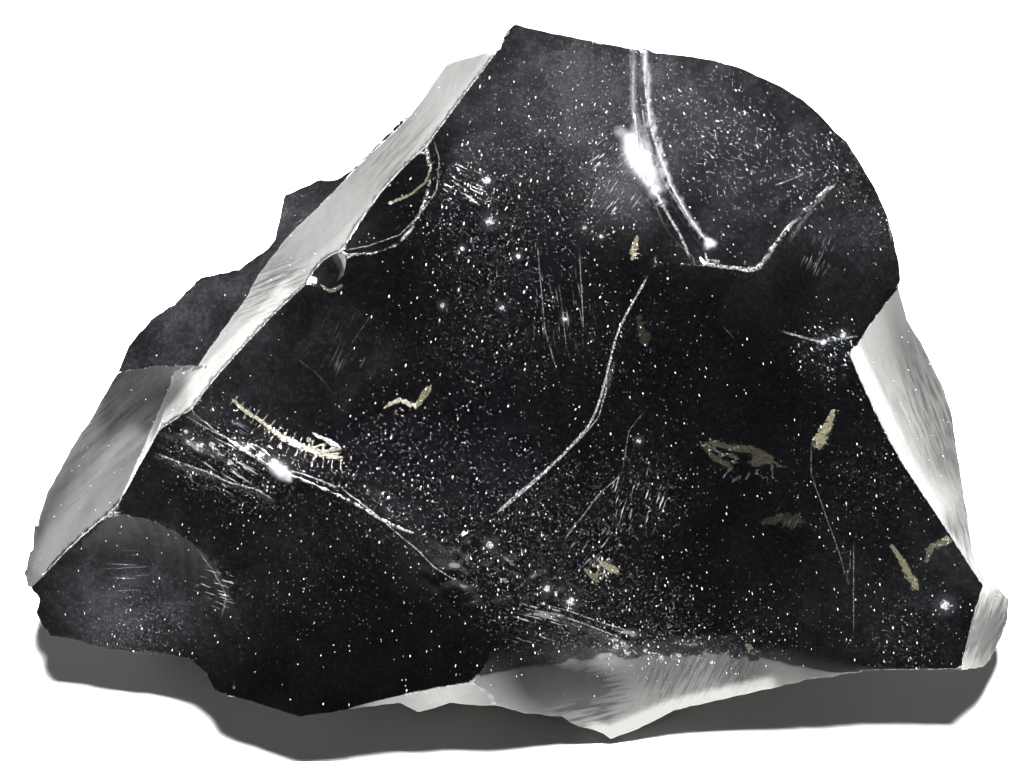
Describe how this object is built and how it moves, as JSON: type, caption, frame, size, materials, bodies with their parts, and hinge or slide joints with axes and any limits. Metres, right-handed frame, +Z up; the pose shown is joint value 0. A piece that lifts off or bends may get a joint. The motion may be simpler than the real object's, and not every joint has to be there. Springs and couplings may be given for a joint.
{
  "type": "natural asphalt specimen",
  "caption": "Broken lump of glossy black natural asphalt with hollow shell-shaped fracture faces, sharp ridges, a bright bevelled side and a flat resting face.",
  "frame": {"origin": "centre of the bounding box at floor level, under the lump", "axes": "+X to the right across the broad face, +Y to the far side behind the high edge, +Z up; the broad face looks up and towards -Y"},
  "size_m": [0.103, 0.0676, 0.0478],
  "materials": {
    "stone": "glassy black natural bitumen, dusty, with hackle marks and a few tan clay films in the fractures"
  },
  "bodies": {
    "root": {"asphalt_lump": "stone"}
  },
  "joints": []
}
